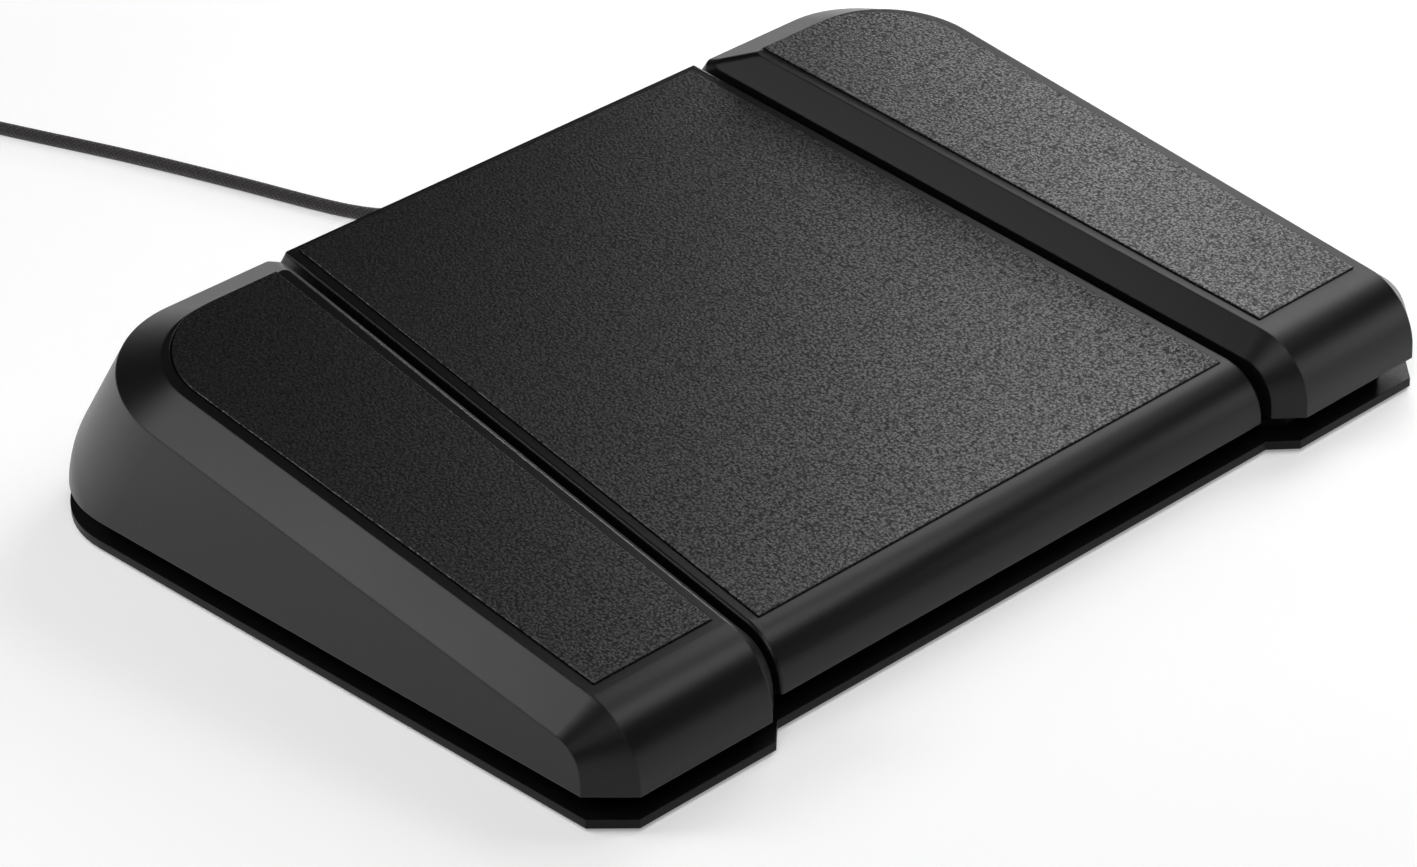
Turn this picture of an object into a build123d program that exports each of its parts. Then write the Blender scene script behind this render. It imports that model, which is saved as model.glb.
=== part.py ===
from build123d import *
from math import atan, cos, hypot, pi, radians, sin, sqrt, tan
import os

os.makedirs("parts", exist_ok=True)

# Foot switch with three pedals side by side on a thin steel bottom plate.
# All lengths are in millimetres. Z = 0 is the floor under the rubber feet, and the
# origin is the middle of the base. +X is to the user's right, +Y away from the
# user. Each pedal hinges near its low front nose, and the foot presses its high
# back end.

# Overall
overall_width = 240.96
overall_depth = 184.0
back_lean = 35.5
knee_radius = 31.0
skirt_height = 6.5
foot_height = 1.2
plate_thickness = 1.96
recess_height = 5.21

# Pedal tops: the middle pedal's top plane starts at this height above the floor,
# measured straight above the foremost edge, and rises towards the back.
middle_front_height = 18.41
side_rise = 5.14
top_rise_share = 0.1546

# Plan shape of the pedals
side_front_width = 47.13
middle_taper_share = 0.0685
pedal_gap = 2.4
middle_setback = 5.42
wall = 2.6
edge_round = 0.7
inner_corner_round = 2.4

# Noses and bevels
middle_nose_radius = 11.5
side_nose_radius = 14.4
outer_bevel_width = 7.7
outer_bevel_drop = 6.3
front_bevel_depth = 8.2
front_bevel_radius = 7.0
front_bevel_reach = 32.0
inner_bevel_width = 4.97

# Rounded back corners of the side pedals
corner_radius = 29.2

# Textured pads
pad_recess = 1.5
pad_proud = 0.4
pad_groove = 0.25
pad_round = 0.12
pad_front_depth = 14.75
middle_pad_back_border = 21.8
middle_pad_border = 2.85
side_pad_back_border = 31.1
side_pad_inner_border = 2.35
side_pad_back_spread = 0.4
side_pad_outer_border = 2.7
side_pad_corner_radius = 22.8

# Bottom plate
lip_side_gap = 0.48
lip_front_gap = 0.5
lip_corner_x = 7.05
lip_corner_y = 7.4
lip_step_reach = 6.12
lip_step_run = 5.25
lip_step_depth = 4.99
lip_corner_radius = 28.0

# Chassis
chassis_inset = 6.5
chassis_floor = 1.6
rim_thickness = 2.0
rim_height = 4.54
seam_slot_width = 13.0
seam_slot_length = 86.0
seam_front_reach = 24.0

# Hinges
hinge_depth = 16.5
hinge_height = 13.2
pin_radius = 2.0
pin_clearance = 0.05
knuckle_radius = 4.1
lug_width = 5.0
tower_width = 5.0
tower_radius = 4.0
lug_tower_gap = 0.6
side_centre_shift = 1.915
side_lug_inset = 14.565
middle_lug_share = 0.578
pin_overhang = 1.0
press_angle = 1.5

# Return springs
spring_back_gap = 65.5
spring_radius = 4.0
spring_wire_radius = 0.55
spring_turns = 6
spring_seat_height = 10.0
spring_length = 16.0
spring_post_radius = 5.6
spring_spigot_radius = 3.0
spring_spigot_length = 2.4
side_back_shift = 4.915

# Up-stops
spring_stop_step = 28.0
bracket_bottom = 15.0
bracket_thickness = 3.0
bracket_inner_half = 7.0
bracket_leg = 3.0
bracket_half_depth = 6.0
stop_hole_radius = 2.9
stop_shank_radius = 2.0
stop_head_radius = 4.2
stop_head_height = 2.3
stop_slack = 0.1
stop_boss_half = 4.5
stop_boss_height = 21.8
stop_screw_grip = 7.0

# Bump stops
spring_bumper_step = 12.0
bumper_radius = 4.0
bumper_height = 3.0
bumper_top = 12.0
bumper_post_radius = 5.0
side_bumper_inset = 8.565
middle_bumper_share = 0.48
bumper_gap = 0.15
rib_half = 3.0

# Circuit board and switches
board_front_depth = 48.0
board_side_gap = 14.48
board_width_y = 24.0
board_thickness = 1.2
board_standoff = 0.5
switch_depth = 60.5
switch_length = 12.8
switch_width = 5.8
switch_height = 6.5
plunger_length = 2.9
plunger_width = 2.4
plunger_proud = 1.5
plunger_inside = 1.6
plunger_side_gap = 0.2
plunger_bore_depth = 3.4
press_gap = 0.1
switch_rib_half = 3.5
chip_size = 7.0
chip_height = 1.0
chip_x = 48.0
header_length = 9.0
header_width = 6.0
header_height = 5.0
header_setback = 2.5

# Fasteners
screw_radius = 1.5
screw_head_radius = 2.8
screw_cone = 1.3
screw_length = 8.5
screw_boss_radius = 3.6
screw_boss_height = 5.6
screw_slot_length = 3.4
screw_slot_width = 0.7
screw_slot_depth = 0.7
screw_front_depth = 33.0
screw_middle_share = 0.516
screw_back_inset = 21.0
side_screw_front_inset = 16.48
side_screw_middle_step = 4.0
side_screw_back_step = 1.05
middle_screw_x = 28.0
board_pad_radius = 3.4
board_screw_depth = 67.0
board_screw_front_depth = 53.0
board_screw_side_step = 10.0
board_screw_middle_x = 32.0
board_screw_radius = 1.1
board_screw_head_radius = 2.1
board_screw_head = 1.4

# Rubber feet
foot_radius = 7.0
foot_chamfer = 0.3
foot_side_inset = 14.48
foot_front_depth = 14.0
foot_middle_depth = 92.0
foot_back_inset = 14.0
foot_back_step = 8.0

# Cord
cord_diameter = 3.2
cord_x = 17.5
cord_lift = 0.2
relief_collar_radius = 3.0
relief_collar_length = 5.0
relief_neck_radius = 2.2
relief_root_radius = 2.5
relief_tip_radius = 2.05
relief_length = 22.0
relief_block_half = 6.5
relief_block_height = 7.2
relief_block_length = 9.0
relief_stop_length = 2.0
relief_rings = 5
relief_ring_start = 5.0
relief_ring_pitch = 3.2
relief_ring_width = 1.4
relief_ring_radius = 1.85
notch_half = 4.6
notch_height = 6.4

# Put-away coil: turns beside and on each other, wound in layers
coil_turn_gap = 0.45
coil_outer_radius = 24.2
coil_layer_half_turns = 7
coil_layers = 4
coil_x = -62.0
coil_y = 268.0
coil_start_angle = 37.0
coil_step_share = 0.02
coil_samples_per_half = 40
bend_share = 0.45
plug_length = 30.0
plug_width = 15.6
plug_height = 7.8
plug_round = 2.4
plug_neck_length = 9.0
plug_neck_radius = 2.6
plug_neck_flare = 0.8
shell_length = 12.0
shell_width = 12.0
shell_height = 4.5
shell_wall = 0.32
shell_tongue = 1.9
shell_tongue_back = 3.0
tie_width = 6.0
tie_thickness = 1.0
tie_slack = 0.35
tie_round = 3.0
tie_turn = 90.0

# The cord inside, from the relief to the header: share of the way, share of the rise
tail_route_shares = [(0, 0), (0.24, 0), (0.5, 0.2), (0.74, 0.7), (0.88, 1), (1, 1)]

# Far end of the cord's route: how far ahead of the coil's end, how far aside, and
# what share of the drop to the plug is left
cord_end_route = [
    (9.0, 0.0, 1.0),
    (18.0, 0.6, 0.85),
    (28.0, 2.2, 0.42),
    (38.0, 4.2, 0.08),
    (47.0, 6.7, 0.0),
    (55.0, 9.4, 0.0),
]

cut = 5.0

# Derived places across the width: what stands in a pedal follows that pedal
front_y = -overall_depth / 2
half_width = overall_width / 2
middle_front_half = half_width - side_front_width - pedal_gap
side_middle_x = half_width - side_front_width / 2
side_centre_x = side_middle_x - side_centre_shift
side_back_x = side_middle_x - side_back_shift
side_lug_offset = side_front_width / 2 - side_lug_inset
middle_lug_offset = middle_lug_share * middle_front_half
side_bumper_offset = side_front_width / 2 - side_bumper_inset
middle_bumper_offset = middle_bumper_share * middle_front_half
lip_width = overall_width - 2 * lip_side_gap
lip_step_x = middle_front_half + lip_step_reach
board_length_x = overall_width - 2 * board_side_gap
board_screw_side_x = side_centre_x - board_screw_side_step
side_screw_front_x = half_width - side_screw_front_inset
side_screw_middle_x = side_back_x - side_screw_middle_step
side_screw_back_x = middle_front_half + side_screw_back_step
foot_side_x = half_width - foot_side_inset
foot_back_x = side_back_x - foot_back_step

# Derived places along the depth, from the foremost edge
middle_pad_back_depth = overall_depth - middle_pad_back_border
side_pad_back_depth = overall_depth - side_pad_back_border
seam_slot_depth = overall_depth - seam_slot_length
spring_depth = overall_depth - spring_back_gap
stop_depth = spring_depth + spring_stop_step
bumper_depth = spring_depth + spring_bumper_step
board_back_depth = board_front_depth + board_width_y
screw_middle_depth = board_back_depth + screw_middle_share * (spring_depth - board_back_depth)
screw_back_depth = overall_depth - screw_back_inset
foot_back_depth = overall_depth - foot_back_inset

# Derived heights
plate_top = foot_height + plate_thickness
shell_base = plate_top + recess_height
floor_top = plate_top + chassis_floor
top_angle = atan(top_rise_share)
hinge_y = front_y + hinge_depth
board_bottom = floor_top + board_standoff
board_top = board_bottom + board_thickness
switch_top = board_top + switch_height
switch_rib_bottom = switch_top + plunger_proud + press_gap
cord_z = floor_top + cord_lift + cord_diameter / 2
press_sine = sin(radians(press_angle))


def depth(distance):
    # Y of a place this far behind the foremost edge
    return front_y + distance


def middle_top(distance):
    return middle_front_height + top_rise_share * distance


def side_top(distance):
    return middle_top(distance) + side_rise


def middle_edge(distance):
    return middle_front_half - middle_taper_share * distance


def side_edge(distance):
    return middle_edge(distance) + pedal_gap


def tilted(height):
    # Plane parallel to the pedal tops, at this height above the foremost edge
    return Plane(
        origin=(0, front_y, height),
        x_dir=(1, 0, 0),
        z_dir=(0, -sin(top_angle), cos(top_angle)),
    )


def on_tilt(distance):
    # Distance along the tilted plane for a place this far behind the front
    return distance / cos(top_angle)


def nose(setback, height, radius):
    # Arc that turns a front wall into a top plane whose height above the
    # foremost edge is given: first point, middle point, last point.
    turn = pi / 2 - top_angle
    reach = radius * tan(turn / 2)
    corner_y = depth(setback)
    corner_z = height + top_rise_share * setback
    start = (corner_y, corner_z - reach)
    end = (corner_y + reach * cos(top_angle), corner_z + reach * sin(top_angle))
    centre = (corner_y + radius, corner_z - reach)
    away = hypot(corner_y - centre[0], corner_z - centre[1])
    middle = (
        centre[0] + radius * (corner_y - centre[0]) / away,
        centre[1] + radius * (corner_z - centre[1]) / away,
    )
    return start, middle, end


def tower_places(step):
    # X of every hinge tower: outside each pair of lugs
    places = []
    for side in (-1, 1):
        places.append(side * (middle_lug_offset + step))
        for end in (-1, 1):
            places.append(side * side_centre_x + end * (side_lug_offset + step))
    return places


bumper_places = []
for side in (-1, 1):
    bumper_places.append((side * middle_bumper_offset, depth(bumper_depth)))
    for end in (-1, 1):
        bumper_places.append(
            (side * side_back_x + end * side_bumper_offset, depth(bumper_depth))
        )
board_screw_places = []
foot_places = []
for side in (-1, 1):
    board_screw_places.append((side * board_screw_side_x, depth(board_screw_depth)))
    board_screw_places.append((side * board_screw_middle_x, depth(board_screw_front_depth)))
    foot_places.append((side * foot_side_x, depth(foot_front_depth)))
    foot_places.append((side * foot_side_x, depth(foot_middle_depth)))
    foot_places.append((side * foot_back_x, depth(foot_back_depth)))


def back_profile(inset, height):
    # Side view of a pedal's back: where its leaning face leaves the top plane, then
    # the first, middle and last point of the knee that turns it into the upright skirt
    lean = radians(back_lean)
    back = depth(overall_depth) - inset
    knee_z = shell_base + skirt_height - inset * tan(lean / 2)
    radius = knee_radius - inset
    reach = radius * tan(lean / 2)
    rise = height + top_rise_share * (back - front_y) - knee_z
    rise = rise / (1 + top_rise_share * tan(lean))
    top = (back - rise * tan(lean), knee_z + rise)
    first = (back - reach * sin(lean), knee_z + reach * cos(lean))
    middle = (
        back - radius + radius * cos(lean / 2),
        knee_z - reach + radius * sin(lean / 2),
    )
    last = (back, knee_z - reach)
    return top, first, middle, last


def pedal_section(setback, inset, height, radius):
    # Side view of a pedal, drawn on down below its base
    first, middle, last = nose(setback, height, radius)
    top, knee_first, knee_middle, knee_last = back_profile(inset, height)
    foot = knee_last[1] - cut
    with BuildSketch(Plane.YZ) as section:
        with BuildLine():
            Line((depth(setback), foot), first)
            ThreePointArc(first, middle, last)
            Line(last, top)
            Line(top, knee_first)
            ThreePointArc(knee_first, knee_middle, knee_last)
            Line(knee_last, (knee_last[0], foot))
            Line((knee_last[0], foot), (depth(setback), foot))
        make_face()
    return section.sketch


def nose_section(plane, setback, height, radius, base):
    # Side view of a pedal's front end alone, from its front wall to the bevel's reach
    first, middle, last = nose(setback, height, radius)
    back_y = depth(front_bevel_reach)
    back_top = (back_y, height + top_rise_share * front_bevel_reach)
    with BuildSketch(plane) as section:
        with BuildLine():
            Line((depth(setback), base), first)
            ThreePointArc(first, middle, last)
            Line(last, back_top)
            Line(back_top, (back_y, base))
            Line((back_y, base), (depth(setback), base))
        make_face()
    return section.sketch


def front_bevel(inset, height, base, bevel_width, bevel_drop):
    # Front end of the outer bevel: it spreads from the nose's own profile to a tighter
    # one on the side, which starts further back
    near_x = half_width - inset - bevel_width
    set_back = inner_bevel_size(bevel_width, front_bevel_depth, inset)[1]
    low = height - bevel_drop / cos(top_angle)
    with BuildPart() as bevel:
        add(nose_section(Plane.YZ.offset(near_x), inset, height, side_nose_radius - inset, base))
        add(nose_section(
            Plane.YZ.offset(half_width - inset), inset + set_back, low,
            front_bevel_radius - inset, base,
        ))
        loft(ruled=True)
    return bevel.part


def inner_bevel_size(width, drop, inset):
    # Size of a bevel whose face, and the two faces beside it, all move in by inset
    near = 1 / width + 1 / drop - hypot(1 / width, 1 / drop)
    share = 1 - inset * near
    return width * share, drop * share


def side_pedal_form(inset, base):
    # Solid form of the right pedal with every face but the base drawn in by inset
    height = side_front_height - inset / cos(top_angle)
    outer_width, outer_drop = inner_bevel_size(outer_bevel_width, outer_bevel_drop, inset)
    inner_width, inner_drop = inner_bevel_size(inner_bevel_width, side_rise, inset)
    section = pedal_section(inset, inset, height, side_nose_radius - inset)
    edge_x = side_edge(0) + inset * hypot(1, middle_taper_share)
    near_x = half_width - inset - outer_width
    with BuildPart() as form:
        extrude(section, amount=half_width - inset)
        split(bisect_by=taper_plane(edge_x, 1), keep=Keep.TOP)
        # The corner goes round the leaning face, the knee and the skirt in one sweep
        side_face = form.faces().sort_by(Axis.X)[-1]
        back_edges = behind(side_face.edges(), back_profile(inset, height)[0][0])
        fillet(back_edges, radius=corner_radius - inset)
        split(bisect_by=Plane.XY.offset(base), keep=Keep.TOP)
        top_face = form.faces().filter_by(top_axis)[0]
        outer_edge = top_face.edges().sort_by(Axis.X)[-1]
        chamfer(outer_edge, length=outer_width, length2=outer_drop, reference=top_face)
        # The bevel's front end takes the place of the plain one
        with BuildSketch(Plane.XY.offset(base - cut)):
            with Locations((near_x, front_y - cut)):
                Rectangle(
                    outer_width + cut, front_bevel_reach + cut, align=(Align.MIN, Align.MIN)
                )
        extrude(amount=overall_depth, mode=Mode.SUBTRACT)
        add(front_bevel(inset, height, base, outer_width, outer_drop))
        top_face = form.faces().filter_by(top_axis)[0]
        inner_edge = top_face.edges().sort_by(Axis.X)[0]
        chamfer(inner_edge, length=inner_width, length2=inner_drop, reference=top_face)
        if inset == 0:
            # Outside only: the upright inner back corner and the bevels' meeting edge
            limit_x = side_edge(0) + inner_bevel_width
            limit_y = top_face.bounding_box().max.Y - inner_corner_round
            corner_edges = form.edges().filter_by(
                lambda edge: edge.bounding_box().max.X < limit_x
                and edge.bounding_box().min.Y > limit_y
            )
            fillet(corner_edges, radius=inner_corner_round)
    return form.part


def behind(edges, start_y):
    # Those of the edges whose middle lies behind this place
    return edges.filter_by_position(Axis.Y, start_y, depth(overall_depth) + cut)


def middle_pedal_form(inset, base):
    # Solid form of the middle pedal, narrower towards the back
    height = middle_front_height - inset / cos(top_angle)
    section = pedal_section(
        middle_setback + inset, inset, height, middle_nose_radius - inset
    )
    edge_x = middle_edge(0) - inset * hypot(1, middle_taper_share)
    with BuildPart() as form:
        extrude(section, amount=half_width, both=True)
        for side in (-1, 1):
            split(bisect_by=taper_plane(edge_x, side), keep=Keep.BOTTOM)
        split(bisect_by=Plane.XY.offset(base), keep=Keep.TOP)
    return form.part


def taper_plane(edge_x, side):
    # Upright plane along a tapered edge, facing away from the middle
    return Plane(
        origin=(side * edge_x, front_y, 0),
        x_dir=(-side * middle_taper_share, 1, 0),
        z_dir=(side, middle_taper_share, 0),
    )


def hanging_rib(centre_x, rib_width, front, back, bottom, height):
    # Upright web under a pedal: it hangs from the middle of the roof's thickness,
    # and its lower face is level.
    root = (wall + pad_recess) / 2
    with BuildSketch(Plane.YZ.offset(centre_x - rib_width / 2)) as web:
        with BuildLine():
            Polyline(
                (depth(front), bottom),
                (depth(back), bottom),
                (depth(back), height + top_rise_share * back - root),
                (depth(front), height + top_rise_share * front - root),
                close=True,
            )
        make_face()
    return web.sketch


def hinge_cheek(centre_x, cheek_width, radius, bore, far_z, near_half):
    # Upright web with a rounded, bored eye around the hinge pin. It runs from the
    # eye to far_z, up for a pedal and down for the chassis.
    with BuildSketch(Plane.YZ.offset(centre_x - cheek_width / 2)) as cheek:
        with Locations((hinge_y, hinge_height)):
            Circle(radius)
        with Locations((hinge_y, (hinge_height + far_z) / 2)):
            Rectangle(2 * near_half, abs(far_z - hinge_height))
        with Locations((hinge_y, hinge_height)):
            Circle(bore, mode=Mode.SUBTRACT)
    return cheek.sketch


def lip_outline(plane, inset):
    # Plan of the bottom plate, drawn in by an even inset
    half = lip_width / 2
    lip_y = depth(lip_front_gap)
    step_y = lip_y + lip_step_depth
    back_y = depth(overall_depth)
    arc = lip_corner_radius * cos(pi / 4)
    with BuildSketch(plane) as outline:
        with BuildLine():
            Line((0, step_y), (lip_step_x - lip_step_run, step_y))
            Line((lip_step_x - lip_step_run, step_y), (lip_step_x, lip_y))
            Line((lip_step_x, lip_y), (half - lip_corner_x, lip_y))
            Line((half - lip_corner_x, lip_y), (half, lip_y + lip_corner_y))
            Line((half, lip_y + lip_corner_y), (half, back_y - lip_corner_radius))
            ThreePointArc(
                (half, back_y - lip_corner_radius),
                (half - lip_corner_radius + arc, back_y - lip_corner_radius + arc),
                (half - lip_corner_radius, back_y),
            )
            Line((half - lip_corner_radius, back_y), (0, back_y))
            mirror(about=Plane.YZ)
        make_face()
        if inset > 0:
            offset(amount=-inset, kind=Kind.INTERSECTION)
    return outline.sketch


def pad_outline(plane, outer_x, inner_front, inner_back, back, radius, spread):
    # Plan of a textured pad, square at the middle and rounded at the outer back
    start = on_tilt(pad_front_depth)
    end = on_tilt(back)
    with BuildSketch(plane) as pad:
        with BuildLine():
            Line((inner_front, start), (outer_x, start))
            Line((outer_x, start), (outer_x, end - radius))
            ThreePointArc(
                (outer_x, end - radius),
                (outer_x - radius + radius * cos(pi / 4), end - radius + radius * sin(pi / 4)),
                (outer_x - radius, end),
            )
            Line((outer_x - radius, end), (inner_back, end))
            Line((inner_back, end), (inner_front, start))
        make_face()
        if spread > 0:
            offset(amount=spread, kind=Kind.INTERSECTION)
    return pad.sketch


def middle_pad_outline(plane, spread):
    # Plan of the middle pedal's pad, narrower at the back
    front_half = middle_edge(pad_front_depth) - middle_pad_border
    back_half = middle_edge(middle_pad_back_depth) - middle_pad_border
    start = on_tilt(pad_front_depth)
    end = on_tilt(middle_pad_back_depth)
    with BuildSketch(plane) as pad:
        with BuildLine():
            Polyline(
                (-front_half, start),
                (front_half, start),
                (back_half, end),
                (-back_half, end),
                close=True,
            )
        make_face()
        if spread > 0:
            offset(amount=spread, kind=Kind.INTERSECTION)
    return pad.sketch


side_front_height = middle_front_height + side_rise
top_axis = Axis((0, 0, 0), (0, -sin(top_angle), cos(top_angle)))
bumper_reach = bumper_depth - hinge_depth
bumper_rib_bottom = bumper_top + (bumper_reach + rib_half) * press_sine + bumper_gap
spring_top = spring_seat_height + spring_length
side_pad_inner_front = side_edge(pad_front_depth) + inner_bevel_width + side_pad_inner_border
side_pad_inner_back = side_edge(side_pad_back_depth) + inner_bevel_width + side_pad_inner_border
side_pad_inner_back = side_pad_inner_back + side_pad_back_spread
side_pad_outer = half_width - outer_bevel_width - side_pad_outer_border

# Right pedal: one moulded shell, hollow below, with its webs
side_outside = side_pedal_form(0, shell_base)
side_inside = side_pedal_form(wall, shell_base - cut)
with BuildPart() as right_pedal_shell:
    add(side_outside)
    add(side_inside, mode=Mode.SUBTRACT)
    # Hinge lugs
    for side in (-1, 1):
        lug_x = side_centre_x + side * side_lug_offset
        lug_top = side_top(hinge_depth - knuckle_radius) - (wall + pad_recess) / 2
        lug = hinge_cheek(
            lug_x, lug_width, knuckle_radius, pin_radius + pin_clearance, lug_top, knuckle_radius
        )
        extrude(lug, amount=lug_width)
    # Switch web
    web = hanging_rib(
        side_centre_x, 2 * rib_half,
        switch_depth - switch_rib_half, switch_depth + switch_rib_half,
        switch_rib_bottom, side_front_height,
    )
    extrude(web, amount=2 * rib_half)
    # Spring boss with its spigot
    boss = hanging_rib(
        side_back_x, 2 * spring_post_radius,
        spring_depth - spring_post_radius, spring_depth + spring_post_radius,
        spring_top, side_front_height,
    )
    extrude(boss, amount=2 * spring_post_radius)
    with BuildSketch(Plane.XY.offset(spring_top)):
        with Locations((side_back_x, depth(spring_depth))):
            Circle(spring_spigot_radius)
    extrude(amount=-spring_spigot_length)
    # Boss for the stop screw
    stop_boss = hanging_rib(
        side_back_x, 2 * stop_boss_half,
        stop_depth - stop_boss_half, stop_depth + stop_boss_half,
        stop_boss_height, side_front_height,
    )
    extrude(stop_boss, amount=2 * stop_boss_half)
    with BuildSketch(Plane.XY.offset(stop_boss_height)):
        with Locations((side_back_x, depth(stop_depth))):
            Circle(stop_shank_radius)
    extrude(amount=stop_screw_grip, mode=Mode.SUBTRACT)
    # Webs over the bump stops
    for side in (-1, 1):
        bump_web = hanging_rib(
            side_back_x + side * side_bumper_offset, 2 * rib_half,
            bumper_depth - rib_half, bumper_depth + rib_half,
            bumper_rib_bottom, side_front_height,
        )
        extrude(bump_web, amount=2 * rib_half)
    # Recess for the pad
    recess = pad_outline(
        tilted(side_front_height), side_pad_outer, side_pad_inner_front,
        side_pad_inner_back, side_pad_back_depth, side_pad_corner_radius, pad_groove,
    )
    extrude(recess, amount=-pad_recess, mode=Mode.SUBTRACT)
right_pedal_shell.part.label = "right_pedal_shell"
export_step(right_pedal_shell.part, "parts/right_pedal_shell.step")

with BuildPart() as left_pedal_shell:
    add(mirror(right_pedal_shell.part, about=Plane.YZ))
left_pedal_shell.part.label = "left_pedal_shell"
export_step(left_pedal_shell.part, "parts/left_pedal_shell.step")

# Middle pedal's shell, narrower towards the back
middle_outside = middle_pedal_form(0, shell_base)
middle_inside = middle_pedal_form(wall, shell_base - cut)
with BuildPart() as middle_pedal_shell:
    add(middle_outside)
    # Its sides' top edges and its back corners are rounded together
    top_edges = middle_pedal_shell.faces().filter_by(top_axis)[0].edges().sort_by(Axis.X)
    round_edges = [top_edges[0], top_edges[-1]]
    for place in (0, -1):
        side_face = middle_pedal_shell.faces().sort_by(Axis.X)[place]
        round_edges += behind(side_face.edges(), back_profile(0, middle_front_height)[0][0])
    fillet(round_edges, radius=edge_round)
    add(middle_inside, mode=Mode.SUBTRACT)
    for side in (-1, 1):
        lug_top = middle_top(hinge_depth - knuckle_radius) - (wall + pad_recess) / 2
        lug = hinge_cheek(
            side * middle_lug_offset, lug_width, knuckle_radius, pin_radius + pin_clearance,
            lug_top, knuckle_radius,
        )
        extrude(lug, amount=lug_width)
    web = hanging_rib(
        0, 2 * rib_half, switch_depth - switch_rib_half, switch_depth + switch_rib_half,
        switch_rib_bottom, middle_front_height,
    )
    extrude(web, amount=2 * rib_half)
    boss = hanging_rib(
        0, 2 * spring_post_radius, spring_depth - spring_post_radius,
        spring_depth + spring_post_radius, spring_top, middle_front_height,
    )
    extrude(boss, amount=2 * spring_post_radius)
    with BuildSketch(Plane.XY.offset(spring_top)):
        with Locations((0, depth(spring_depth))):
            Circle(spring_spigot_radius)
    extrude(amount=-spring_spigot_length)
    stop_boss = hanging_rib(
        0, 2 * stop_boss_half, stop_depth - stop_boss_half, stop_depth + stop_boss_half,
        stop_boss_height, middle_front_height,
    )
    extrude(stop_boss, amount=2 * stop_boss_half)
    with BuildSketch(Plane.XY.offset(stop_boss_height)):
        with Locations((0, depth(stop_depth))):
            Circle(stop_shank_radius)
    extrude(amount=stop_screw_grip, mode=Mode.SUBTRACT)
    for side in (-1, 1):
        bump_web = hanging_rib(
            side * middle_bumper_offset, 2 * rib_half, bumper_depth - rib_half,
            bumper_depth + rib_half, bumper_rib_bottom, middle_front_height,
        )
        extrude(bump_web, amount=2 * rib_half)
    recess = middle_pad_outline(tilted(middle_front_height), pad_groove)
    extrude(recess, amount=-pad_recess, mode=Mode.SUBTRACT)
    # Notch in the back skirt over the cord's relief
    with BuildSketch(Plane.XZ.offset(-depth(overall_depth) - cut)):
        with Locations((cord_x, shell_base + (notch_height - cut) / 2)):
            Rectangle(2 * notch_half, notch_height + cut)
    extrude(amount=relief_length + cut, mode=Mode.SUBTRACT)
middle_pedal_shell.part.label = "middle_pedal_shell"
export_step(middle_pedal_shell.part, "parts/middle_pedal_shell.step")

# Textured pads, bonded into their recesses
with BuildPart() as right_pad:
    pad_floor = side_front_height - pad_recess / cos(top_angle)
    pad_shape = pad_outline(
        tilted(pad_floor), side_pad_outer, side_pad_inner_front, side_pad_inner_back,
        side_pad_back_depth, side_pad_corner_radius, 0,
    )
    extrude(pad_shape, amount=pad_recess + pad_proud)
    chamfer(right_pad.faces().filter_by(top_axis).sort_by(Axis.Z)[-1].edges(), length=pad_round)
right_pad.part.label = "right_pad"
export_step(right_pad.part, "parts/right_pad.step")

with BuildPart() as left_pad:
    add(mirror(right_pad.part, about=Plane.YZ))
left_pad.part.label = "left_pad"
export_step(left_pad.part, "parts/left_pad.step")

with BuildPart() as middle_pad:
    pad_floor = middle_front_height - pad_recess / cos(top_angle)
    extrude(middle_pad_outline(tilted(pad_floor), 0), amount=pad_recess + pad_proud)
    chamfer(middle_pad.faces().filter_by(top_axis).sort_by(Axis.Z)[-1].edges(), length=pad_round)
middle_pad.part.label = "middle_pad"
export_step(middle_pad.part, "parts/middle_pad.step")

# Bottom plate: the thin lip that shows all round under the pedals
screw_places = [
    (side_screw_front_x, screw_front_depth),
    (middle_screw_x, screw_front_depth),
    (side_screw_middle_x, screw_middle_depth),
    (middle_screw_x, screw_middle_depth),
    (side_screw_back_x, screw_back_depth),
    (middle_screw_x, screw_back_depth),
]
all_screws = [(side * x, depth(d)) for x, d in screw_places for side in (-1, 1)]
with BuildPart() as bottom_plate:
    extrude(lip_outline(Plane.XY.offset(foot_height), 0), amount=plate_thickness)
    with BuildSketch(Plane.XY.offset(foot_height)):
        with Locations(*all_screws):
            Circle(screw_radius)
    extrude(amount=plate_thickness, mode=Mode.SUBTRACT)
    for x, y in all_screws:
        with Locations((x, y, foot_height + screw_cone / 2)):
            Cone(screw_head_radius, screw_radius, screw_cone, mode=Mode.SUBTRACT)
bottom_plate.part.label = "bottom_plate"
export_step(bottom_plate.part, "parts/bottom_plate.step")

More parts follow.
